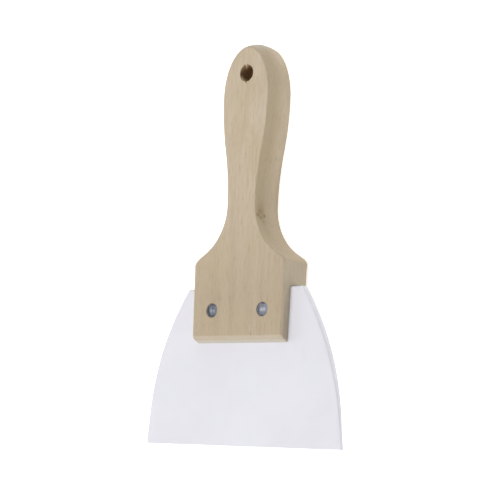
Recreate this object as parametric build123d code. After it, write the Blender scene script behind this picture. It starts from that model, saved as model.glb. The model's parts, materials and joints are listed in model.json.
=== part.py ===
from build123d import *
import math
import os

# Flexible putty knife, lying on its back.
# X runs across the blade, Y from the working edge to the end of the grip,
# Z up out of the front face. The origin is the bottom centre of the whole
# knife. All lengths are in millimetres, and a distance "along" the knife is
# measured from the working edge.

# ---- driving dimensions ----
overall_length = 203.0
blade_width = 125.0
handle_thickness = 17.6

# ---- handle outline ----
cheek_end_along = 51.0  # lower end of the handle, on the blade
cheek_end_half_width = 28.8
shoulder_half_width = 29.8
neck_along = 120.0
neck_half_width = 9.0
neck_radius = 29.0
flare_angle = 60.0  # slope of the straight flare into the shoulders
grip_along = 175.0  # widest place of the grip
grip_half_width = 14.4
middle_flare = 0.25  # the walls lean out, this much halfway to the back face
back_flare = 0.8  # and this much at the back face
back_end_drop = 0.9  # the end of the grip is domed: shorter at the back face,
middle_end_drop = 0.15  # all but full length halfway, where the dome swells past it,
front_end_drop = 3.0  # and shortest at the front face

# ---- lower end of the handle: a saw kerf between two cheeks ----
front_cheek = 5.2
bevel_drop = 3.4  # two-facet bevel on the lower end of each cheek
bevel_break_drop = 1.3
bevel_break_depth = 2.0
bevel_depth = 4.9
kerf_clearance = 0.4  # gap above the blade's top edge

# ---- blade ----
blade_thickness = 4.0
working_edge_thickness = 1.6
taper_along = 46.0  # the blade thins from here to the working edge
blade_top_along = 78.5
blade_top_half_width = 36.6
side_straight_along = 15.0
side_straight_half_width = 60.8
blade_corner_radius = 4.0

# ---- rivets: a tube from the front and a pin from the back ----
rivet_along = 67.0
rivet_pitch = 32.4
head_radius = 3.5
head_thickness = 1.0
head_recess = 0.3
rim_width = 0.8
dish_depth = 0.35
dome_radius = 1.2
dome_height = 0.18
tube_radius = 2.0
pin_radius = 1.3
pin_tip_height = 13.2

# ---- hanging hole ----
hole_along = 186.5
hole_radius = 4.0

# ---- derived ----
kerf_front_z = handle_thickness - front_cheek
kerf_back_z = kerf_front_z - blade_thickness
rivet_places = {
    "left": -rivet_pitch / 2,
    "right": rivet_pitch / 2,
}


def along(distance):
    """Y of a place at this distance from the working edge."""
    return distance - overall_length / 2


def mirrored_face(right_half):
    """Face from an open right-hand outline that starts and ends on the Y axis."""
    left_half = mirror(right_half, about=Plane.YZ)
    return make_face(right_half.edges() + left_half.edges())


def handle_outline(flare_out, end_drop):
    """Right half of the handle's outline, from the lower end to the grip's end.

    It is widened on its side, and its end is this much short of the knife's
    full length.
    """
    neck_x = neck_half_width + flare_out
    grip_x = grip_half_width + flare_out
    shoulder_x = shoulder_half_width + flare_out
    hollow_radius = neck_radius - flare_out
    end_length = overall_length - end_drop - grip_along

    flare = math.radians(flare_angle)
    flare_x = neck_x + hollow_radius * (1 - math.cos(flare))
    flare_y = along(neck_along) - hollow_radius * math.sin(flare)
    shoulder_y = flare_y - (shoulder_x - flare_x) / math.tan(flare)

    # Two equal arcs make the S between the neck and the widest place.
    swell_x = grip_x - neck_x
    swell_y = grip_along - neck_along
    grip_radius = (swell_x**2 + swell_y**2) / (4 * swell_x)
    grip_turn = math.degrees(math.asin(swell_y / 2 / grip_radius))

    cheek_corner = (cheek_end_half_width + flare_out, along(cheek_end_along))
    shoulder_corner = (shoulder_x, shoulder_y)
    neck_centre = (neck_x + hollow_radius, along(neck_along))
    lower_centre = (neck_x + grip_radius, along(neck_along))
    upper_centre = (grip_x - grip_radius, along(grip_along))
    end_centre = (0, along(grip_along))
    return Curve() + [
        Line((0, along(cheek_end_along)), cheek_corner),
        Line(cheek_corner, shoulder_corner),
        Line(shoulder_corner, (flare_x, flare_y)),
        CenterArc(neck_centre, hollow_radius, 180 + flare_angle, -flare_angle),
        CenterArc(lower_centre, grip_radius, 180, -grip_turn),
        CenterArc(upper_centre, grip_radius, -grip_turn, grip_turn),
        EllipticalCenterArc(end_centre, grip_x, end_length, 0, arc_size=90),
    ]


def make_board():
    """The shaped board before any sawing or drilling, from back to front."""
    back = mirrored_face(handle_outline(back_flare, back_end_drop))
    middle = mirrored_face(handle_outline(middle_flare, middle_end_drop))
    front = mirrored_face(handle_outline(0, front_end_drop))
    return loft(
        [
            back,
            Pos(0, 0, handle_thickness / 2) * middle,
            Pos(0, 0, handle_thickness) * front,
        ]
    )


def side_prism(side_points, width):
    """Prism along X whose section is given by (Y, Z) points."""
    section = make_face(Polyline([(0, y, z) for y, z in side_points], close=True))
    return extrude(section, amount=width / 2, dir=(1, 0, 0), both=True)


def cheek_bevel(face_z, inward):
    """Waste cut from the lower end of a cheek, on its outer edge."""
    end_y = along(cheek_end_along)
    return side_prism(
        [
            (end_y, face_z),
            (end_y + bevel_drop, face_z),
            (end_y + bevel_break_drop, face_z + inward * bevel_break_depth),
            (end_y, face_z + inward * bevel_depth),
        ],
        blade_width,
    )


def rivet_hole(x):
    """Hole for one rivet, with a counterbore for each head."""
    counterbore = head_recess + head_thickness
    centre = (x, along(rivet_along))
    shank = extrude(Pos(*centre, 0) * Circle(tube_radius), amount=handle_thickness)
    back = extrude(Pos(*centre, 0) * Circle(head_radius), amount=counterbore)
    front = Pos(0, 0, handle_thickness - counterbore) * back
    return shank + back + front


def make_handle():
    """One-piece wooden handle with kerf, rivet holes and hanging hole."""
    board = make_board()
    board -= cheek_bevel(handle_thickness, -1)
    board -= cheek_bevel(0, 1)

    kerf_end_y = along(blade_top_along) + kerf_clearance
    cheek_end_y = along(cheek_end_along)
    board -= side_prism(
        [
            (cheek_end_y, kerf_back_z),
            (kerf_end_y, kerf_back_z),
            (kerf_end_y, kerf_front_z),
            (cheek_end_y, kerf_front_z),
        ],
        blade_width,
    )
    for x in rivet_places.values():
        board -= rivet_hole(x)
    hole_centre = Pos(0, along(hole_along), 0)
    board -= extrude(hole_centre * Circle(hole_radius), amount=handle_thickness)
    return board


def blade_outline():
    """Right half of the blade's outline, from the working edge to the top."""
    edge_corner = (blade_width / 2, along(0))
    straight_end = (side_straight_half_width, along(side_straight_along))
    top_corner = (blade_top_half_width, along(blade_top_along))
    side_direction = (
        straight_end[0] - edge_corner[0],
        straight_end[1] - edge_corner[1],
    )
    return Curve() + [
        Line((0, along(0)), edge_corner),
        Line(edge_corner, straight_end),
        TangentArc(straight_end, top_corner, tangent=side_direction),
        Line(top_corner, (0, along(blade_top_along))),
    ]


def make_blade():
    """Flexible blade: full thickness in the kerf, thin at the working edge."""
    outline = mirrored_face(blade_outline())
    top_corners = outline.vertices().sort_by(Axis.Y)[-2:]
    outline = fillet(top_corners, blade_corner_radius)
    plate = extrude(outline, amount=handle_thickness)

    middle_z = (kerf_front_z + kerf_back_z) / 2
    half_edge = working_edge_thickness / 2
    thickness_profile = side_prism(
        [
            (along(0), middle_z - half_edge),
            (along(taper_along), kerf_back_z),
            (along(blade_top_along), kerf_back_z),
            (along(blade_top_along), kerf_front_z),
            (along(taper_along), kerf_front_z),
            (along(0), middle_z + half_edge),
        ],
        blade_width,
    )
    blade = plate & thickness_profile
    for x in rivet_places.values():
        centre = Pos(x, along(rivet_along), 0)
        blade -= extrude(centre * Circle(tube_radius), amount=handle_thickness)
    return blade


def head_top(face_z, inward):
    """Dished face of a rivet head, as radius and Z: dome, dish and rolled rim."""
    rim_z = face_z + inward * rim_width / 2
    dish_z = face_z + inward * dish_depth
    dome_top_z = dish_z - inward * dome_height
    dome_side = (dome_radius * math.cos(math.pi / 4), 0, dish_z - inward * dome_height / 2)
    rim_inner = (head_radius - rim_width, 0, rim_z)
    rim_top = (head_radius - rim_width / 2, 0, face_z)
    return Curve() + [
        ThreePointArc((0, 0, dome_top_z), dome_side, (dome_radius, 0, dish_z)),
        Line((dome_radius, 0, dish_z), rim_inner),
        ThreePointArc(rim_inner, rim_top, (head_radius, 0, rim_z)),
    ]


def rivet_half(x, face_z, inward, shank_points):
    """One half of a rivet, turned about its axis: a head, then its shank."""
    top = head_top(face_z, inward)
    seat_z = face_z + inward * head_thickness
    below = [(head_radius, seat_z)] + shank_points
    below = [(radius, 0, z) for radius, z in below]
    section = make_face(Curve() + [top, Polyline([top @ 1, *below, top @ 0])])
    return Pos(x, along(rivet_along), 0) * revolve(section, axis=Axis.Z)


def make_rivet_tube(x):
    """Front half of a rivet: a head on a tube that goes through the knife."""
    seat_z = handle_thickness - head_recess - head_thickness
    tube_end_z = head_recess + head_thickness
    tube = [
        (tube_radius, seat_z),
        (tube_radius, tube_end_z),
        (pin_radius, tube_end_z),
        (pin_radius, pin_tip_height),
        (0, pin_tip_height),
    ]
    return rivet_half(x, handle_thickness - head_recess, -1, tube)


def make_rivet_pin(x):
    """Back half of a rivet: a head with a pin pressed into the tube."""
    seat_z = head_recess + head_thickness
    pin = [(pin_radius, seat_z), (pin_radius, pin_tip_height), (0, pin_tip_height)]
    return rivet_half(x, head_recess, 1, pin)


def write_parts():
    """Write each separate piece as its own STEP file."""
    parts = {"handle": make_handle(), "blade": make_blade()}
    for side, x in rivet_places.items():
        parts[f"rivet_tube_{side}"] = make_rivet_tube(x)
        parts[f"rivet_pin_{side}"] = make_rivet_pin(x)
    os.makedirs("parts", exist_ok=True)
    for name, solid in parts.items():
        export_step(solid, f"parts/{name}.step")


write_parts()
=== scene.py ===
import json
import math

import bmesh
import bpy
import numpy as np
from mathutils import Matrix, Vector, noise
from mathutils.bvhtree import BVHTree


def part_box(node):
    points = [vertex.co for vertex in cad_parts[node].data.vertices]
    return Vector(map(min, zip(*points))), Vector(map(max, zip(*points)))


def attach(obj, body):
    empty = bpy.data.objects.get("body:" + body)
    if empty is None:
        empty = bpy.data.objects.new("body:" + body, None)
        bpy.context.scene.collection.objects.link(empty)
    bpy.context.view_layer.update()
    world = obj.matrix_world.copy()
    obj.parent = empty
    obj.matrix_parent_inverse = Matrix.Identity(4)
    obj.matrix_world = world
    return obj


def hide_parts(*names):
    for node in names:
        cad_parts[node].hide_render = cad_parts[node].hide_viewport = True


# The flexible putty knife, lying on its back on a pale floor. X runs across
# the blade, Y from the working edge to the end of the grip, Z up out of the
# front face, all in metres.

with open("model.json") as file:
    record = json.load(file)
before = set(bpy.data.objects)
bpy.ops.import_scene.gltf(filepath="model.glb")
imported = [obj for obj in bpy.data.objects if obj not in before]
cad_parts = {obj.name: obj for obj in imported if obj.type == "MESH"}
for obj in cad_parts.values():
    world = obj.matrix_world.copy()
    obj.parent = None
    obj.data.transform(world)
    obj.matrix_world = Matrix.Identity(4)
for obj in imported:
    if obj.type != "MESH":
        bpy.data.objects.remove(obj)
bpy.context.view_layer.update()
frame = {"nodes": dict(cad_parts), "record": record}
mm = 0.001
# Edges sharper than these angles, in degrees, stay sharp.
crease_angle = 35
turned_crease_angle = 50

# ---- what the frame says ----
handle_low, handle_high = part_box("handle")
blade_low, blade_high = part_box("blade")
mounts = {mount["name"]: mount for mount in frame["record"]["mounts"]}
hole_x, hole_y, _ = mounts["hang_hole"]["pos_m"]
hole_radius = mounts["hang_hole"]["dims"]["r_mm"] * mm
kerf_back = blade_low.z
kerf_front = blade_high.z

# ---- handle ----
# The bevel on a cheek's lower end, as (depth from the face, drop) corners.
bevel_corners = ((0, 3.4 * mm), (2.0 * mm, 1.3 * mm), (4.9 * mm, 0))
# How far the long edges are rounded over, as (y, radius): crisp along the
# grip and the flare, softer at the grip's end, and softest below the shoulders.
edge_softness = (
    (-50.5 * mm, 1.4 * mm),
    (-33 * mm, 1.7 * mm),
    (-12.5 * mm, 2.2 * mm),
    (-9.5 * mm, 1.5 * mm),
    (-6.5 * mm, 0.55 * mm),
    (85 * mm, 0.45 * mm),
    (101.5 * mm, 0.9 * mm),
)
softest_edge = max(radius for _, radius in edge_softness)
back_edge_softness = 0.6  # of the front's, on the flare and the grip
back_edge_change = (-14 * mm, -9 * mm)  # the back edge gets crisper between these y
end_edge_radius = 0.3 * mm
shoulder_reach = 1.8 * mm  # the shoulder corners are eased this far to each side
kerf_edge_radius = 0.6 * mm
cheek_corner_radius = 0.7 * mm
face_dip = 0.06 * mm  # how far the sanded faces dip
grip_widest_y = 73.5 * mm
solid_level = 6.5 * mm  # the back cheek is solid from end to end at this height
neck_y = 18.5 * mm
ray_inset = 0.01 * mm  # rays are shot this far inside an edge, to be sure to meet it
ray_shift = 0.03 * mm  # and this far to one side of the blade's middle line

# ---- blade ----
blade_edge_radius = 0.5  # of half the blade's thickness
blade_corner_softness = 0.6 * mm
kerf_gap = 0.2 * mm  # above the blade's top edge

# ---- rivets ----
head_segments = 72
head_radius = 3.5 * mm
head_thickness = 1.0 * mm
head_recess = 0.3 * mm
rim_width = 0.8 * mm
dish_depth = 0.35 * mm
dome_radius = 1.2 * mm
dome_height = 0.18 * mm
dish_bow = 0.08 * mm  # the dish is this much deeper halfway to the rim
tube_radius = 2.0 * mm
pin_radius = 1.3 * mm
pin_tip = 13.2 * mm
head_clearance = 0.08 * mm  # round each head, in its counterbore
head_wobble = 0.012 * mm
# Noise offset per metre of X, so that no two heads wobble alike.
wobble_seeds = {"front": 900, "back": 700}
# The left rivet is painted duller and bluer than the right one: painted shade, for a head that
# catches less light.
rivet_shade_tint = {"left": (0.82, 0.81, 0.8), "right": (0.99, 0.95, 0.93)}

# ---- marks in the wood ----
knot_place = Vector((9.4, 13.2, 13.4)) * mm  # in the right-hand wall of the neck
# Dark spots of the knot, in millimetres: y and z from its middle, height along
# y, depth along z, and strength.
knot_spots = (
    (-0.5, 2.1, 1.2, 1.4, 0.6),
    (-0.6, -2.7, 1.1, 1.3, 0.65),
    (1.5, 0.1, 1.6, 2.2, 0.3),
    (-1.8, 0.2, 1.0, 2.2, 0.4),
    (-4.8, -1.3, 2.8, 1.4, 0.5),
)
nick_place = Vector((9.5, -46.8, 17.3)) * mm

# ---- camera: swung to the right, dipped towards the working edge, rolled ----
swing = math.radians(39.8)
dip = math.radians(6.84)
roll = math.radians(2.31)
camera_distance = 836.7 * mm
target_x = 7.13 * mm
target_y = -5.08 * mm
focal_length = 122.0  # millimetres
sensor_width = 36.0  # millimetres

# ---- stage ----
floor_half_width = 15.0
floor_drop = 0.05 * mm
floor_glow = 0.55
world_glow = 0.02
# Soft lights above, at both ends, on the left and a little on the right. Each
# row: name, place, size and power in watts.
softboxes = (
    ("overhead_softbox", (-0.1, 0.1, 1.6), 1.4, 15.8),
    ("top_end_softbox", (0.0, 1.5, 0.7), 1.0, 7.9),
    ("lower_end_softbox", (0.0, -1.5, 0.7), 1.0, 15.4),
    ("left_softbox", (-1.5, 0.0, 0.7), 1.0, 9.8),
    ("right_softbox", (1.4, -0.2, 0.4), 1.0, 3.6),
)


# ---------------------------------------------------------------- measuring

def cad_tree(node):
    """Search tree over a CAD node's faces, for measuring the node by ray."""
    mesh = frame["nodes"][node].data
    corners = [vertex.co for vertex in mesh.vertices]
    return BVHTree.FromPolygons(corners, [face.vertices for face in mesh.polygons])


def measure(tree, start, direction):
    """Where a ray first meets the node."""
    return tree.ray_cast(Vector(start), Vector(direction))[0]


# ---------------------------------------------------------------- mesh tools

def new_object(name, points, faces, material, smooth_angle=crease_angle):
    """Mesh object with smooth faces and edges that stay sharp past an angle."""
    mesh = bpy.data.meshes.new(name)
    mesh.from_pydata([tuple(point) for point in points], [], faces)
    mesh.validate()
    piece = bpy.data.objects.new(name, mesh)
    bpy.context.scene.collection.objects.link(piece)
    finish_mesh(piece, smooth_angle)
    mesh.materials.append(material)
    return piece


def finish_mesh(piece, smooth_angle=crease_angle):
    """Smooth shading that breaks at edges sharper than the angle, in degrees."""
    mesh = piece.data
    mesh.polygons.foreach_set("use_smooth", [True] * len(mesh.polygons))
    mesh.set_sharp_from_angle(angle=math.radians(smooth_angle))
    mesh.update()


def edge_levels(thickness, radius, steps, extra=(), edge_steps=6):
    """Heights through a board, close together where its edges are rounded."""
    turn = np.linspace(0, math.pi / 2, edge_steps)
    lower = radius * (1 - np.cos(turn))
    inner = np.linspace(radius, thickness - radius, steps + 1)
    heights = np.concatenate([lower, inner, thickness - lower, list(extra)])
    return np.unique(np.round(heights, 8))


def rounding(height, thickness, radius):
    """How far a rounded edge pulls the wall in at this height."""
    depth = np.minimum(height, thickness - height)
    inside = np.clip(radius - depth, 0, radius)
    return radius - np.sqrt(radius**2 - inside**2)


def pull_in(x, y, distance, places):
    """Half-widths at some places of a right-hand outline moved inwards, square to itself.

    The places are a function of how far up the moved outline reaches, and the
    second result is the places themselves. Where the moved outline folds over
    itself at a corner, its innermost line counts.
    """
    step_x = np.gradient(x)
    step_y = np.gradient(y)
    length = np.hypot(step_x, step_y)
    moved_x = x - distance * step_y / length
    moved_y = y + distance * step_x / length
    top = moved_y.max()
    sought = places(top)[:, None]
    start_y = moved_y[:-1]
    rise = np.diff(moved_y)
    rise[rise == 0] = 1e-12
    part = (sought - start_y) / rise
    crossing = moved_x[:-1] + part * np.diff(moved_x)
    crossing[(part < 0) | (part > 1)] = np.inf
    found = crossing.min(axis=1)
    nearest = np.abs(sought - moved_y).argmin(axis=1)
    return np.where(np.isfinite(found), found, moved_x[nearest]), sought[:, 0]


def slab(name, x, y, z, columns, material):
    """Closed symmetric slab from its right-hand wall.

    x, y and z hold the wall's points, a row for each place along the slab and
    a column for each height. The left wall mirrors it, and straight rows join
    the two across the faces and the ends.
    """
    rows, heights = x.shape
    across = np.linspace(-1, 1, columns + 1)
    numbers = {}
    points = []
    faces = []

    def number(i, j, k):
        if (i, j, k) not in numbers:
            numbers[i, j, k] = len(points)
            points.append((across[i] * x[j, k], y[j, k], z[j, k]))
        return numbers[i, j, k]

    def sheet(corner, first, second, flip):
        for a in range(first):
            for b in range(second):
                around = [(a, b), (a + 1, b), (a + 1, b + 1), (a, b + 1)]
                quad = [number(*corner(p, q)) for p, q in around]
                faces.append(quad[::-1] if flip else quad)

    last_row = rows - 1
    last_height = heights - 1
    sheet(lambda i, j: (i, j, last_height), columns, last_row, False)
    sheet(lambda i, j: (i, j, 0), columns, last_row, True)
    sheet(lambda j, k: (columns, j, k), last_row, last_height, False)
    sheet(lambda j, k: (0, j, k), last_row, last_height, True)
    sheet(lambda i, k: (i, 0, k), columns, last_height, False)
    sheet(lambda i, k: (i, last_row, k), columns, last_height, True)
    return merge_close(new_object(name, points, faces, material))


def merge_close(piece, distance=0.002 * mm):
    """Joins points that share a place, and drops the faces that collapse."""
    mesh = bmesh.new()
    mesh.from_mesh(piece.data)
    bmesh.ops.remove_doubles(mesh, verts=mesh.verts, dist=distance)
    bmesh.ops.dissolve_degenerate(mesh, edges=mesh.edges, dist=distance / 10)
    bmesh.ops.recalc_face_normals(mesh, faces=mesh.faces)
    mesh.to_mesh(piece.data)
    mesh.free()
    return piece


def cut_away(piece, cutters):
    """Subtracts the cutters from the piece, and removes them."""
    for cutter in cutters:
        modifier = piece.modifiers.new("cut", "BOOLEAN")
        modifier.operation = "DIFFERENCE"
        modifier.solver = "EXACT"
        modifier.object = cutter
        depsgraph = bpy.context.evaluated_depsgraph_get()
        mesh = bpy.data.meshes.new_from_object(piece.evaluated_get(depsgraph))
        piece.modifiers.remove(modifier)
        piece.data = mesh
        bpy.data.objects.remove(cutter)


def turned(name, profile, centre, segments, material, wobble=0.0, seed=0):
    """Closed solid turned about a vertical axis from (radius, z) points.

    The first and last points are on the axis. Wobble moves each point in or
    out a little, so that the solid isn't perfectly round.
    """
    cx, cy = centre
    points = [(cx, cy, profile[0][1])]
    for radius, z in profile[1:-1]:
        for s in range(segments):
            angle = 2 * math.pi * s / segments
            place = Vector((math.cos(angle), math.sin(angle), seed + z / mm))
            r = radius + wobble * noise.noise(place * 1.7)
            points.append((cx + r * math.cos(angle), cy + r * math.sin(angle), z))
    points.append((cx, cy, profile[-1][1]))
    faces = []
    rings = len(profile) - 2
    last_ring = 1 + (rings - 1) * segments
    for s in range(segments):
        t = (s + 1) % segments
        faces.append((0, 1 + t, 1 + s))
        faces.append((len(points) - 1, last_ring + s, last_ring + t))
        for ring in range(rings - 1):
            a = 1 + ring * segments
            b = a + segments
            faces.append((a + s, a + t, b + t, b + s))
    return merge_close(new_object(name, points, faces, material, turned_crease_angle))


# ---------------------------------------------------------------- materials

class Shader:
    """Shorthand for building one material's node tree."""

    def __init__(self, name):
        self.material = bpy.data.materials.new(name)
        self.material.use_nodes = True
        self.tree = self.material.node_tree
        self.bsdf = self.tree.nodes["Principled BSDF"]
        texture = self.tree.nodes.new("ShaderNodeTexCoord")
        # The place on the knife, in millimetres.
        self.place = self.scaled(texture.outputs["Object"], (1 / mm, 1 / mm, 1 / mm))

    def node(self, kind, inputs, output=0, **settings):
        """Adds a node, sets or links its inputs, and returns one output."""
        made = self.tree.nodes.new(kind)
        for key, value in settings.items():
            setattr(made, key, value)
        for key, value in inputs.items():
            if isinstance(value, bpy.types.NodeSocket):
                self.tree.links.new(value, made.inputs[key])
            else:
                made.inputs[key].default_value = value
        return made.outputs[output]

    def scaled(self, vector, scale):
        inputs = {0: vector, 1: scale}
        return self.node("ShaderNodeVectorMath", inputs, operation="MULTIPLY")

    def math(self, operation, first, second=0.0):
        return self.node("ShaderNodeMath", {0: first, 1: second}, operation=operation)

    def noise(self, vector, scale, detail=3.0, roughness=0.5, distortion=0.0):
        inputs = {
            "Vector": vector,
            "Scale": scale,
            "Detail": detail,
            "Roughness": roughness,
            "Distortion": distortion,
        }
        return self.node("ShaderNodeTexNoise", inputs, "Fac")

    def ramp(self, value, low, high, from_value=0.0, to_value=1.0):
        """Maps low..high smoothly onto from_value..to_value."""
        inputs = {
            "Value": value,
            "From Min": low,
            "From Max": high,
            "To Min": from_value,
            "To Max": to_value,
        }
        return self.node("ShaderNodeMapRange", inputs, interpolation_type="SMOOTHSTEP")

    def mix(self, amount, first, second):
        """Colour mix. Amount is a socket or a number from 0 to 1."""
        inputs = {"Factor": amount, "A": first, "B": second}
        made = self.tree.nodes.new("ShaderNodeMix")
        made.data_type = "RGBA"
        made.clamp_factor = True
        for name, value in inputs.items():
            socket = [s for s in made.inputs if s.name == name and s.enabled][0]
            if isinstance(value, bpy.types.NodeSocket):
                self.tree.links.new(value, socket)
            else:
                socket.default_value = value
        return [s for s in made.outputs if s.enabled][0]

    def normal(self):
        """X, Y and Z of the surface's normal."""
        return self.parts(self.node("ShaderNodeNewGeometry", {}, "Normal"))

    def parts(self, vector):
        """X, Y and Z of a vector."""
        made = self.tree.nodes.new("ShaderNodeSeparateXYZ")
        self.tree.links.new(vector, made.inputs[0])
        return made.outputs

    def distance(self, point, stretch=(1, 1, 1)):
        """Distance from a point, in millimetres, with each axis divided by its stretch."""
        centre = tuple(-value / mm for value in point)
        moved = self.node("ShaderNodeVectorMath", {0: self.place, 1: centre}, operation="ADD")
        scaled = self.scaled(moved, tuple(1 / s for s in stretch))
        return self.node("ShaderNodeVectorMath", {0: scaled}, "Value", operation="LENGTH")

    def from_axis(self, x, y):
        """Distance from an upright axis, in millimetres."""
        flattened = (1, 1, 100000)
        return self.distance(Vector((x, y, 0)), flattened)

    def bump(self, height, distance, strength=1.0):
        inputs = {"Height": height, "Distance": distance, "Strength": strength}
        normal = self.node("ShaderNodeBump", inputs)
        self.tree.links.new(normal, self.bsdf.inputs["Normal"])

    def colour(self, socket):
        self.tree.links.new(socket, self.bsdf.inputs["Base Color"])

    def roughness(self, socket):
        self.tree.links.new(socket, self.bsdf.inputs["Roughness"])


def linear(value):
    """Linear level of an sRGB value out of 255."""
    value /= 255
    return value / 12.92 if value <= 0.04045 else ((value + 0.055) / 1.055) ** 2.4


def rgb(red, green, blue):
    """Linear colour from sRGB values out of 255."""
    return (linear(red), linear(green), linear(blue), 1)


def wood_material(name, drilled):
    """Raw pale hardwood: straight fine grain along Y, flecks and a knot.

    Drilled wood also has painted shade inside the hanging hole.
    """
    s = Shader(name)
    fibres = s.noise(s.scaled(s.place, (1, 0.09, 1)), 1.7, 2.0, 0.6)
    flecks = s.noise(s.scaled(s.place, (1, 0.16, 1)), 3.4, 2.0, 0.5)
    base = wood_layers(s)
    base = wood_grain(s, base, fibres, flecks)
    base = wood_knot(s, base)
    base = wood_nick(s, base)
    base = wood_sides(s, base)
    base = wood_ends(s, base)
    if drilled:
        base = wood_hole(s, base)
    s.colour(base)
    s.roughness(s.ramp(fibres, 0.3, 0.7, 0.72, 0.86))
    s.bsdf.inputs["Specular IOR Level"].default_value = 0.3
    relief = s.math("SUBTRACT", s.math("MULTIPLY", fibres, 0.7), s.math("MULTIPLY", flecks, 0.4))
    s.bump(relief, 0.06 * mm)
    return s.material


def growth_rings(s):
    """Noise by distance from a pith line parallel to Y, far below and to the left."""
    pith_x = -48.0
    pith_z = -95.0
    x, _, z = s.parts(s.place)
    sideways = s.math("SUBTRACT", x, pith_x)
    up = s.math("SUBTRACT", z, pith_z)
    across = s.node("ShaderNodeCombineXYZ", {0: sideways, 2: up})
    from_pith = s.node("ShaderNodeVectorMath", {0: across}, "Value", operation="LENGTH")
    wave = s.noise(s.scaled(s.place, (1, 0.2, 1)), 0.05, 2.0)
    drift = s.math("MULTIPLY", wave, 3.0)
    bend = s.ramp(s.distance(knot_place, (2.3, 2.0, 2.5)), 0.4, 3.2, 1.6, 0.0)
    ring_place = s.math("ADD", s.math("ADD", from_pith, drift), bend)
    inputs = {"W": ring_place, "Scale": 0.3, "Detail": 4.0, "Roughness": 0.55}
    return s.node("ShaderNodeTexNoise", inputs, "Fac", noise_dimensions="1D")


def wood_layers(s):
    """Broad tones: paler up the grip, with rings and patches, and painted shade and painted
    light on the side walls.
    """
    _, y, z = s.parts(s.place)
    top = handle_high.z / mm
    patches = s.noise(s.scaled(s.place, (1, 0.35, 1)), 0.08, 3.0, 0.55)
    base = s.mix(s.ramp(y, -40.0, 75.0), rgb(186, 169, 145), rgb(206, 190, 169))
    base = s.mix(s.ramp(growth_rings(s), 0.3, 0.7, 0.0, 0.6), base, rgb(202, 186, 165))
    base = s.mix(s.ramp(patches, 0.38, 0.6, 0.0, 0.8), base, rgb(195, 179, 152))
    base = s.mix(s.ramp(y, -30.0, 15.0, 0.25, 0.0), base, rgb(166, 148, 124))

    # Painted shade: above the shoulders, the side walls are darker towards the front face,
    # though not on it. Painted light: towards the back face the wood is paler, all along.
    painted_wall_shade = s.math(
        "MULTIPLY", s.ramp(z, 4.0, 12.5, 0.0, 0.8), s.ramp(z, top - 0.5, top - 0.2, 1.0, 0.0)
    )
    painted_wall_shade = s.math("MULTIPLY", painted_wall_shade, s.ramp(y, -17.0, 10.0))
    painted_wall_shade = s.math("MULTIPLY", painted_wall_shade, s.ramp(y, 55.0, 90.0, 1.0, 0.85))
    base = s.mix(painted_wall_shade, base, rgb(172, 156, 128))
    # Painted light: paler towards the back face.
    return s.mix(s.ramp(z, 1.5, 7.0, 0.2, 0.0), base, rgb(210, 195, 168))


def wood_grain(s, base, fibres, flecks):
    """Streaks, fibres and flecks. The fine ones are fainter on the worn grip."""
    _, y, _ = s.parts(s.place)
    streaks = s.noise(s.scaled(s.place, (1, 0.06, 1)), 0.75, 3.0, 0.6)
    worn = s.ramp(y, 20.0, 70.0, 1.0, 0.75)
    fine_fibres = s.math("MULTIPLY", s.ramp(fibres, 0.5, 0.75, 0.0, 0.42), worn)
    fine_flecks = s.math("MULTIPLY", s.ramp(flecks, 0.6, 0.78, 0.0, 0.44), worn)
    base = s.mix(s.ramp(streaks, 0.4, 0.75, 0.0, 0.4), base, rgb(178, 160, 133))
    base = s.mix(fine_fibres, base, rgb(160, 141, 114))
    return s.mix(fine_flecks, base, rgb(146, 127, 100))


def wood_knot(s, base):
    """The knot: shaded grain above it, a long stain below, dark spots round it."""
    shade = s.distance(knot_place + Vector((0, 1.5, 0)) * mm, (3.0, 6.5, 3.6))
    stain = s.distance(knot_place - Vector((0, 8, 0)) * mm, (1.6, 8.0, 2.6))
    base = s.mix(s.ramp(shade, 0.2, 1.2, 0.55, 0.0), base, rgb(158, 138, 104))
    base = s.mix(s.ramp(stain, 0.1, 1.1, 0.5, 0.0), base, rgb(146, 126, 92))
    for along, up, tall, deep, strength in knot_spots:
        spot = s.distance(knot_place + Vector((0, along, up)) * mm, (2.0, tall, deep))
        base = s.mix(s.ramp(spot, 0.1, 1.2, strength, 0.0), base, rgb(112, 90, 60))
    return base


def wood_nick(s, base):
    """A short dark nick across the top of the bevel."""
    nick = s.distance(nick_place, (0.4, 1.6, 2.0))
    return s.mix(s.ramp(nick, 0.3, 1.1, 0.5, 0.0), base, rgb(120, 98, 72))


def wood_sides(s, base):
    """The sides of the wide lower part are painted a little paler and greyer than the faces:
    painted light, as bounced from the white blade and floor.
    """
    _, y, _ = s.parts(s.place)
    facing_side, _, _ = s.normal()
    sideways = s.ramp(s.math("ABSOLUTE", facing_side), 0.6, 0.9, 0.0, 0.35)
    low_side_light = s.math("MULTIPLY", sideways, s.ramp(y, -14.0, -8.0, 1.0, 0.0))
    return s.mix(low_side_light, base, rgb(195, 187, 168))


def wood_ends(s, base):
    """Cut across the grain, the wood shows its pores, and it is painted paler and greyer:
    painted light, bounced from the floor and the white blade.

    That is most of all on the sawn lower end, less on the sanded end of the grip.
    """
    _, y, _ = s.parts(s.place)
    _, facing_end, _ = s.normal()
    sawn = s.ramp(facing_end, -0.95, -0.5, 0.95, 0.0)
    sanded = s.math("MULTIPLY", s.ramp(facing_end, 0.6, 0.95, 0.0, 0.8), s.ramp(y, 60.0, 75.0))
    pores = s.noise(s.scaled(s.place, (1, 0.3, 1)), 2.0, 4.0, 0.7)
    # Painted light: the paler, greyer tone of the cut ends. The pores are real.
    cut = s.mix(s.ramp(pores, 0.45, 0.75), rgb(200, 193, 180), rgb(184, 175, 159))
    return s.mix(s.math("MAXIMUM", sawn, sanded), base, cut)


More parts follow.
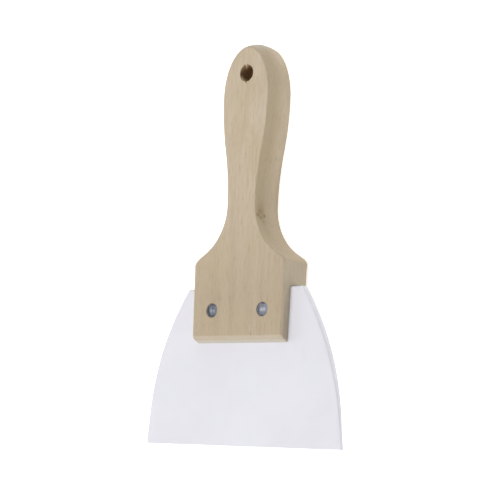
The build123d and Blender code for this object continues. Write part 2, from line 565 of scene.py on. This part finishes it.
def wood_hole(s, base):
    """The wall of the hanging hole is painted darker, painted shade in the recess, and scored
    with darker streaks.
    """
    _, _, z = s.parts(s.place)
    top = handle_high.z / mm
    from_axis = s.from_axis(hole_x, hole_y)
    near_hole = s.ramp(from_axis, hole_radius / mm + 2.2, hole_radius / mm + 2.6, 1.0, 0.0)
    below_front = s.ramp(z, top - 0.5, top - 0.15, 1.0, 0.0)
    off_faces = s.math("MULTIPLY", below_front, s.ramp(z, 0.15, 0.5))
    inside = s.math("MULTIPLY", near_hole, off_faces)
    scored = s.noise(s.scaled(s.place, (1, 1, 0.25)), 1.6, 3.0, 0.6)
    # Painted shade: darker near the mouth, paler further in, where the hole's own shade falls.
    hole_shade_and_scoring = s.mix(s.ramp(z, top - 11.0, top - 1.0), rgb(168, 136, 96), rgb(156, 128, 92))
    hole_shade_and_scoring = s.mix(s.ramp(scored, 0.4, 0.7, 0.0, 0.5), hole_shade_and_scoring, rgb(124, 96, 64))
    return s.mix(inside, base, hole_shade_and_scoring)


def plastic_material():
    """Matte white flexible plastic with a faint moulded texture and smudges."""
    s = Shader("matte_white_plastic")
    clouds = s.noise(s.place, 0.035, 3.0, 0.5)
    base = s.mix(s.ramp(clouds, 0.35, 0.7), rgb(225, 224, 230), rgb(229, 228, 234))
    blue = s.noise(s.scaled(s.place, (1, 0.8, 1)), 0.06, 2.0)
    base = s.mix(s.ramp(blue, 0.4, 0.65, 0.0, 0.3), base, rgb(225, 225, 236))
    smudge = s.noise(s.scaled(s.place, (1, 0.7, 1)), 0.11, 4.0, 0.6, 0.6)
    base = s.mix(s.ramp(smudge, 0.62, 0.8, 0.0, 0.5), base, rgb(220, 218, 224))
    # The narrow edges are painted a little greyer than the faces: painted shade.
    _, _, facing_up = s.normal()
    level = s.math("ABSOLUTE", facing_up)
    base = s.mix(s.ramp(level, 0.3, 0.8, 0.2, 0.0), base, rgb(215, 214, 219))
    s.colour(base)
    grain = s.noise(s.place, 2.5, 2.0)
    s.roughness(s.ramp(grain, 0.3, 0.7, 0.5, 0.6))
    s.bsdf.inputs["Specular IOR Level"].default_value = 0.35
    s.bump(grain, 0.01 * mm)
    return s.material


def steel_material(name, centre, shade_tint=(1.0, 1.0, 1.0)):
    """Dull blue-grey steel, scratched. Painted shade darkens the dish round the dome, which is
    left bright as a painted highlight, the groove inside the rim, and the head's edge where it
    meets the wood.
    """
    # Painted shade: the tint darkens each steel colour.
    def steel(*levels):
        return rgb(*(level * share for level, share in zip(levels, shade_tint)))

    s = Shader(name)
    from_axis = s.from_axis(*centre)
    blotches = s.noise(s.place, 1.1, 3.0, 0.6)
    scratches = s.noise(s.scaled(s.place, (1, 0.12, 1)), 7.0, 3.0, 0.7)
    base = s.mix(s.ramp(blotches, 0.35, 0.7), steel(148, 156, 169), steel(164, 171, 182))
    base = s.mix(s.ramp(scratches, 0.55, 0.75, 0.0, 0.25), base, steel(180, 185, 194))
    edge = head_radius / mm
    dish_edge = (head_radius - rim_width) / mm
    off_groove = s.math("ABSOLUTE", s.math("SUBTRACT", from_axis, dish_edge - 0.25))
    dome_edge = dome_radius / mm
    # Painted shade on the dish; the dome inside it is left bright, a painted highlight.
    dish = s.ramp(from_axis, dome_edge - 0.3, dome_edge + 0.5)
    base = s.mix(s.math("MULTIPLY", dish, 0.45), base, steel(104, 112, 124))
    # Painted shade in the groove between the dish and the rim.
    base = s.mix(s.ramp(off_groove, 0.0, 0.5, 0.25, 0.0), base, steel(84, 94, 108))
    # Painted shade round the head's edge, where it meets the wood.
    base = s.mix(s.ramp(from_axis, edge - 0.4, edge, 0.0, 0.4), base, steel(92, 98, 108))
    s.colour(base)
    s.bsdf.inputs["Metallic"].default_value = 1.0
    s.roughness(s.ramp(blotches, 0.3, 0.7, 0.36, 0.48))
    s.bump(scratches, 0.01 * mm)
    return s.material


def floor_material():
    """Pale studio floor lit from below, like a light table."""
    s = Shader("pale_floor")
    tone = s.noise(s.place, 0.004, 2.0)
    s.colour(s.mix(tone, rgb(236, 236, 236), rgb(240, 240, 240)))
    s.bsdf.inputs["Roughness"].default_value = 0.9
    s.bsdf.inputs["Emission Color"].default_value = (1, 1, 1, 1)
    s.bsdf.inputs["Emission Strength"].default_value = floor_glow
    return s.material


# ---------------------------------------------------------------- handle

def handle_rows():
    """Places along the handle, 0 at the lower end to 1 at the end of the grip."""
    length = handle_high.y - handle_low.y
    grip_start = (grip_widest_y - handle_low.y) / length
    near_end = np.linspace(0, 2 * mm / length, 9)
    straight = np.linspace(2 * mm / length, grip_start, 245)
    turn = np.linspace(0, math.pi / 2, 56)
    rounded = grip_start + (1 - grip_start) * np.sin(turn)
    return np.unique(np.concatenate([near_end, straight, rounded]))


def wall_bulge(tree, height):
    """How much further out the side wall is at this height than at the solid level."""
    far = 2 * handle_high.x
    here = measure(tree, (far, neck_y, height), (-1, 0, 0))
    solid = measure(tree, (far, neck_y, solid_level), (-1, 0, 0))
    return here.x - solid.x


def ease_shoulder(along, out):
    """The wall below the grip with its shoulder corner eased, never outwards."""
    shifts = np.linspace(-shoulder_reach, shoulder_reach, 9)
    eased = np.mean([np.interp(along + shift, along, out) for shift in shifts], axis=0)
    return np.where(along < 0, np.minimum(out, eased), out)


def kerf_rounding(height, along):
    """How far the wall is pulled in beside the kerf, whose long edges are broken."""
    gap = max(height - kerf_front, kerf_back - height, 0)
    inside = max(kerf_edge_radius - gap, 0)
    slot = np.clip((blade_high.y - along) / kerf_edge_radius, 0, 1)
    return slot * (kerf_edge_radius - math.sqrt(kerf_edge_radius**2 - inside**2))


def wall_heights(thickness):
    """Heights of the wall's points, closest at the board's edges and at the kerf."""
    creases = [depth for depth, _ in bevel_corners[1:]]
    creases += [thickness - depth for depth in creases]
    for share in (0, 0.1, 0.3, 0.6, 1):
        creases += [kerf_front + share * kerf_edge_radius, kerf_back - share * kerf_edge_radius]
    return edge_levels(thickness, softest_edge, 18, creases, 13)


def measured_wall(tree, along, level):
    """Half-widths of the CAD handle at places along it, at one height.

    Below the grip they are taken at the solid level, clear of the kerf.
    """
    far = 2 * handle_high.x
    bulge = wall_bulge(tree, level)
    out = np.zeros(len(along))
    for j, place in enumerate(along[:-1]):
        inside = max(place, handle_low.y + ray_inset)
        if place < grip_widest_y:
            out[j] = measure(tree, (far, inside, solid_level), (-1, 0, 0)).x + bulge
        else:
            out[j] = measure(tree, (far, inside, level), (-1, 0, 0)).x
    return out


def round_cheek_corner(from_end, out):
    """The wall with the corner at the handle's lower end rounded off."""
    short = np.clip(cheek_corner_radius - from_end, 0, cheek_corner_radius)
    return out - (cheek_corner_radius - np.sqrt(cheek_corner_radius**2 - short**2))


def edge_pull(height, thickness, along):
    """How far the rounded edges pull the wall in, at one height."""
    softness = np.interp(along, *zip(*edge_softness))
    if height < thickness / 2:
        softness *= np.interp(along, back_edge_change, (1, back_edge_softness))
    return rounding(height, thickness, softness) + kerf_rounding(height, along)


def handle_wall():
    """Right-hand wall of the handle as x, y and z, measured on the CAD handle."""
    tree = cad_tree("handle")
    thickness = handle_high.z - handle_low.z
    heights = wall_heights(thickness)
    rows = handle_rows()
    x, y, z = (np.zeros((len(rows), len(heights))) for _ in range(3))
    for k, height in enumerate(heights):
        level = min(max(height, ray_inset), thickness - ray_inset)
        depth = min(height, thickness - height)
        start = handle_low.y + np.interp(depth, *zip(*bevel_corners))
        end = measure(tree, (0, 2 * handle_high.y, level), (0, -1, 0)).y
        along = start + rows * (end - start)
        out = ease_shoulder(along, measured_wall(tree, along, level))
        out = round_cheek_corner(along - start, out)
        inward = edge_pull(height, thickness, along)
        first = start + rounding(height, thickness, end_edge_radius)
        x[:, k], y[:, k] = pull_in(out, along, inward, lambda top: first + rows * (top - first))
        x[-1, k] = 0
        z[:, k] = height
    return x, y, z


def soften_faces(piece):
    """Lets the sanded faces and walls dip a little, never outwards."""
    middle = (handle_low.z + handle_high.z) / 2
    for vertex in piece.data.vertices:
        place = vertex.co
        wave = 0.5 + 0.5 * noise.noise(Vector((place.x * 60, place.y * 22, place.z * 60)))
        inward = 1 if place.z < middle else -1
        if abs(place.z - middle) > middle - 2 * mm:
            vertex.co.z += inward * face_dip * wave
        if abs(place.x) > 2 * mm:
            vertex.co.x -= math.copysign(face_dip * wave, place.x)


def torn_hole_cutter():
    """Drill hole with a ragged mouth, where fibres tore out along the grain.

    Depths and tears are in millimetres.
    """
    segments = 144
    depths = [-1.0, 0.0, 0.15, 0.35, 0.6, 0.9, 1.3, 2.2, 4.0, 8.0, 14.0, 19.5]
    tear_depth = 1.3
    upper_tear = 3.12
    lower_tear = 3.38
    wall_noise = 0.05
    points = []
    for depth in depths:
        mouth = max(0.0, 1 - max(depth, 0.0) / tear_depth)
        for index in range(segments):
            angle = math.tau * index / segments
            x = math.cos(angle)
            y = math.sin(angle)
            # Fibres run along Y, so a tear is a narrow groove at one x.
            groove = max(0.0, noise.noise(Vector((x * 6.5, 3.7, 0.5 * y))) - 0.05)
            tear = (lower_tear if y < 0 else upper_tear) * groove * abs(y) ** 3
            # The mouth is also worn wider all round, most of all on the right.
            torn = mouth * (0.3 + 0.2 * x + tear)
            wall = wall_noise * noise.noise(Vector((x * 2.5, y * 2.5, depth * 0.9)))
            radius = hole_radius + (torn + wall) * mm
            points.append((hole_x + radius * x, hole_y + radius * y, handle_high.z - depth * mm))
    bottom = range(len(points) - 1, len(points) - segments - 1, -1)
    faces = [tuple(range(segments)), tuple(bottom)]
    for ring in range(len(depths) - 1):
        for index in range(segments):
            a = ring * segments + index
            b = ring * segments + (index + 1) % segments
            faces.append((a, a + segments, b + segments, b))
    return merge_close(new_object("hole_cutter", points, faces, wood))


def box_cutter(name, low, high):
    """Plain box for sawing away a slot."""
    corners = [
        (x, y, z)
        for x in (low[0], high[0])
        for y in (low[1], high[1])
        for z in (low[2], high[2])
    ]
    faces = [(0, 1, 3, 2), (4, 6, 7, 5), (0, 4, 5, 1), (2, 3, 7, 6), (0, 2, 6, 4), (1, 5, 7, 3)]
    return new_object(name, corners, faces, wood)


def rivet_bore_cutter(centre):
    """Through hole for a rivet, with a counterbore for each head."""
    seat = head_recess + head_thickness
    top = handle_high.z
    wide = head_radius + head_clearance
    profile = [(0, -mm), (wide, -mm), (wide, seat), (tube_radius, seat)]
    profile += [(tube_radius, top - seat), (wide, top - seat), (wide, top + mm), (0, top + mm)]
    return turned("rivet_bore", profile, centre, segments=64, material=wood)


def splinter(root, tip, width, dip, steps=7):
    """Points and faces of one sliver of wood, square at its root and thin at its tip."""
    root = Vector(root)
    along = Vector(tip) - root
    side = along.cross(Vector((0, 0, 1))).normalized()
    points = []
    for step in range(steps + 1):
        t = step / steps
        middle = root + along * t + Vector((0, 0, -dip * math.sin(math.pi * t * 0.5)))
        half = 0.5 * width * (1 - t) ** 0.7 + 0.01 * mm
        for turn in range(6):
            angle = math.tau * turn / 6
            offset = side * half * math.cos(angle) + Vector((0, 0, 0.6 * half * math.sin(angle)))
            points.append(middle + offset)
    faces = [tuple(range(6))[::-1], tuple(range(len(points) - 6, len(points)))]
    for step in range(steps):
        for turn in range(6):
            a = step * 6 + turn
            b = step * 6 + (turn + 1) % 6
            faces.append((a, b, b + 6, a + 6))
    return points, faces


def make_splinters():
    """Fibres left hanging into the mouth of the hanging hole."""
    root_depth = 0.28 * mm
    root_reach = hole_radius + 1.1 * mm
    buried_length = 0.9
    tip_drop = 0.25
    # Each row: angle round the hole in degrees, then length into the hole, width
    # and sideways lean in millimetres.
    torn_fibres = (
        (92, 2.5, 0.65, 0.05),
        (98, 1.2, 0.5, -0.1),
        (85, 0.9, 0.4, 0.1),
        (226, 1.8, 0.5, 0.2),
        (236, 2.5, 0.5, 0.25),
        (245, 1.6, 0.6, 0.1),
        (256, 1.4, 0.6, 0.1),
        (268, 0.8, 0.4, -0.1),
    )
    points = []
    faces = []
    for angle, length, width, lean in torn_fibres:
        turn = math.radians(angle)
        root_x = hole_x + root_reach * math.cos(turn)
        root_y = hole_y + root_reach * math.sin(turn)
        root = Vector((root_x, root_y, handle_high.z - root_depth))
        inward = -math.copysign(1, math.sin(turn))
        tip = root + Vector((lean, inward * (length + buried_length), -tip_drop)) * mm
        new_points, new_faces = splinter(root, tip, width * mm, 0.1 * mm)
        faces += [tuple(index + len(points) for index in face) for face in new_faces]
        points += new_points
    return new_object("hole_splinters", points, faces, pale_wood)


def make_handle():
    """One-piece wooden handle that stands for the CAD handle."""
    x, y, z = handle_wall()
    piece = slab("wooden_handle", x, y, z + handle_low.z, columns=64, material=wood)
    soften_faces(piece)
    wide = 2 * handle_high.x
    kerf_end = blade_high.y + kerf_gap
    kerf = box_cutter(
        "kerf", (-wide, handle_low.y - mm, kerf_back), (wide, kerf_end, kerf_front)
    )
    bores = [rivet_bore_cutter(centre) for centre in rivet_centres.values()]
    cut_away(piece, [kerf, torn_hole_cutter()] + bores)
    finish_mesh(piece)
    return piece


# ---------------------------------------------------------------- blade

def blade_rows(length):
    """Places along the blade, 0 at the working edge to 1 at its top."""
    near_top = 4 * mm / length
    working_edge = np.linspace(0, 0.01, 5)
    middle = np.linspace(0.01, 1 - near_top, 120)
    turn = np.linspace(0, math.pi / 2, 12)
    top_corner = 1 - near_top * (1 - np.sin(turn))
    return np.unique(np.concatenate([working_edge, middle, top_corner]))


def blade_wall():
    """Right-hand wall of the blade as x, y and z, measured on the CAD blade."""
    tree = cad_tree("blade")
    length = blade_high.y - blade_low.y
    along = blade_low.y + blade_rows(length) * length
    middle = (kerf_back + kerf_front) / 2
    # Levels go from 0 at the back face to 2 at the front face, whatever the
    # thickness is there.
    levels = edge_levels(2.0, blade_edge_radius, 4)
    x, y, z = (np.zeros((len(along), len(levels))) for _ in range(3))
    for j, place in enumerate(along):
        inside = min(max(place, blade_low.y + ray_inset), blade_high.y - ray_inset)
        wall = measure(tree, (2 * blade_high.x, inside, middle), (-1, 0, 0)).x
        short = max(blade_corner_softness - (blade_high.y - place), 0)
        wall -= blade_corner_softness - math.sqrt(blade_corner_softness**2 - short**2)
        front = measure(tree, (ray_shift, inside, 1.0), (0, 0, -1)).z
        x[j] = wall
        y[j] = place
        z[j] = middle + (front - middle) * (levels - 1)
    inward = rounding(levels, 2.0, blade_edge_radius) * mm
    x -= inward
    y[0] += inward
    y[-1] -= inward
    return x, y, z


def make_blade():
    """Flexible blade with softened edges that stands for the CAD blade."""
    piece = slab("flexible_blade", *blade_wall(), columns=96, material=plastic)
    cut_away(piece, [shank_cutter(centre) for centre in rivet_centres.values()])
    finish_mesh(piece)
    return piece


def shank_cutter(centre):
    """Hole through the blade for a rivet's shank."""
    top = handle_high.z
    profile = [(0, 0), (tube_radius, 0), (tube_radius, top), (0, top)]
    return turned("shank_bore", profile, centre, segments=48, material=plastic)


# ---------------------------------------------------------------- rivets

def head_profile(face, inward, seat_points):
    """(radius, z) points of a rivet: centre dome, dish, rolled rim, then its shank."""
    dish = face + inward * dish_depth
    points = []
    for step in range(6):
        radius = dome_radius * step / 5
        height = dome_height * math.cos(math.pi / 2 * step / 5)
        points.append((radius, dish - inward * height))
    for step in range(1, 6):
        t = step / 6
        radius = dome_radius + (head_radius - rim_width - dome_radius) * t
        points.append((radius, dish + inward * dish_bow * math.sin(math.pi * t)))
    for step in range(9):
        turn = math.pi * step / 8
        radius = head_radius - rim_width / 2 * (1 + math.cos(turn))
        points.append((radius, face + inward * rim_width / 2 * (1 - math.sin(turn))))
    points.append((head_radius, face + inward * head_thickness))
    return points + seat_points


def make_rivet_front(side, centre):
    """Front half of a rivet: a dished head on a tube."""
    face = handle_high.z - head_recess
    seat = handle_low.z + head_recess + head_thickness
    below = [
        (tube_radius, face - head_thickness),
        (tube_radius, seat),
        (pin_radius, seat),
        (pin_radius, pin_tip),
        (0, pin_tip),
    ]
    profile = head_profile(face, -1, below)
    steel = steel_material(f"rivet_steel_front_{side}", centre, rivet_shade_tint[side])
    seed = centre[0] * wobble_seeds["front"]
    name = f"rivet_front_{side}"
    return turned(name, profile, centre, head_segments, steel, head_wobble, seed)


def make_rivet_back(side, centre):
    """Back half of a rivet: a dished head on the pin pressed into the tube."""
    face = handle_low.z + head_recess
    below = [(pin_radius, face + head_thickness), (pin_radius, pin_tip), (0, pin_tip)]
    profile = head_profile(face, 1, below)
    steel = steel_material(f"rivet_steel_back_{side}", centre)
    seed = centre[0] * wobble_seeds["back"]
    name = f"rivet_back_{side}"
    return turned(name, profile, centre, head_segments, steel, head_wobble, seed)


# ---------------------------------------------------------------- stage

def make_floor():
    """Large pale floor just under the knife."""
    half = floor_half_width
    corners = [(-half, -half, 0), (half, -half, 0), (half, half, 0), (-half, half, 0)]
    floor = new_object("floor", corners, [(0, 1, 2, 3)], floor_material())
    floor.location.z = -floor_drop


def area_light(name, place, size, power):
    """Soft square light aimed at the middle of the knife."""
    lamp = bpy.data.lights.new(name, "AREA")
    lamp.shape = "SQUARE"
    lamp.size = size
    lamp.energy = power
    holder = bpy.data.objects.new(name, lamp)
    holder.location = place
    holder.rotation_euler = (-Vector(place)).to_track_quat("-Z", "Y").to_euler()
    bpy.context.scene.collection.objects.link(holder)


def make_lights():
    """Plain soft studio light, with a faint glow from all round."""
    for name, place, size, power in softboxes:
        area_light(name, place, size, power)
    world = bpy.data.worlds.new("studio")
    bpy.context.scene.world = world
    world.use_nodes = True
    background = world.node_tree.nodes["Background"]
    background.inputs["Color"].default_value = (1, 1, 1, 1)
    background.inputs["Strength"].default_value = world_glow


def make_camera():
    """Camera that looks down the slope between the front face and the right wall."""
    back = Vector(
        (math.sin(swing) * math.cos(dip), -math.sin(dip), math.cos(swing) * math.cos(dip))
    )
    level_right = (-back).cross(Vector((0, 1, 0))).normalized()
    level_up = level_right.cross(-back)
    right = math.cos(roll) * level_right + math.sin(roll) * level_up
    up = math.cos(roll) * level_up - math.sin(roll) * level_right
    place = Vector((target_x, target_y, handle_high.z)) + back * camera_distance
    lens = bpy.data.cameras.new("camera")
    lens.lens = focal_length
    lens.sensor_width = sensor_width
    lens.clip_start = 0.01
    camera = bpy.data.objects.new("camera", lens)
    turn = Matrix((right, up, back)).transposed().to_4x4()
    camera.matrix_world = Matrix.Translation(place) @ turn
    bpy.context.scene.collection.objects.link(camera)
    bpy.context.scene.camera = camera


# ---------------------------------------------------------------- the model

def box_centre(node):
    """X and Y of the middle of a CAD node."""
    low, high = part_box(node)
    return ((low.x + high.x) / 2, (low.y + high.y) / 2)


def place_piece(piece, node):
    """Rides a piece on the knife's one body, in place of a CAD node."""
    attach(piece, "root")
    if node:
        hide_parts(node)


bpy.context.scene.view_settings.view_transform = "Standard"
rivet_centres = {side: box_centre(f"rivet_tube_{side}") for side in ("left", "right")}
wood = wood_material("raw_wood", True)
pale_wood = wood_material("torn_wood", False)
plastic = plastic_material()

place_piece(make_handle(), "handle")
place_piece(make_splinters(), None)
place_piece(make_blade(), "blade")
for side, centre in rivet_centres.items():
    place_piece(make_rivet_front(side, centre), f"rivet_tube_{side}")
    place_piece(make_rivet_back(side, centre), f"rivet_pin_{side}")

make_floor()
make_lights()
make_camera()
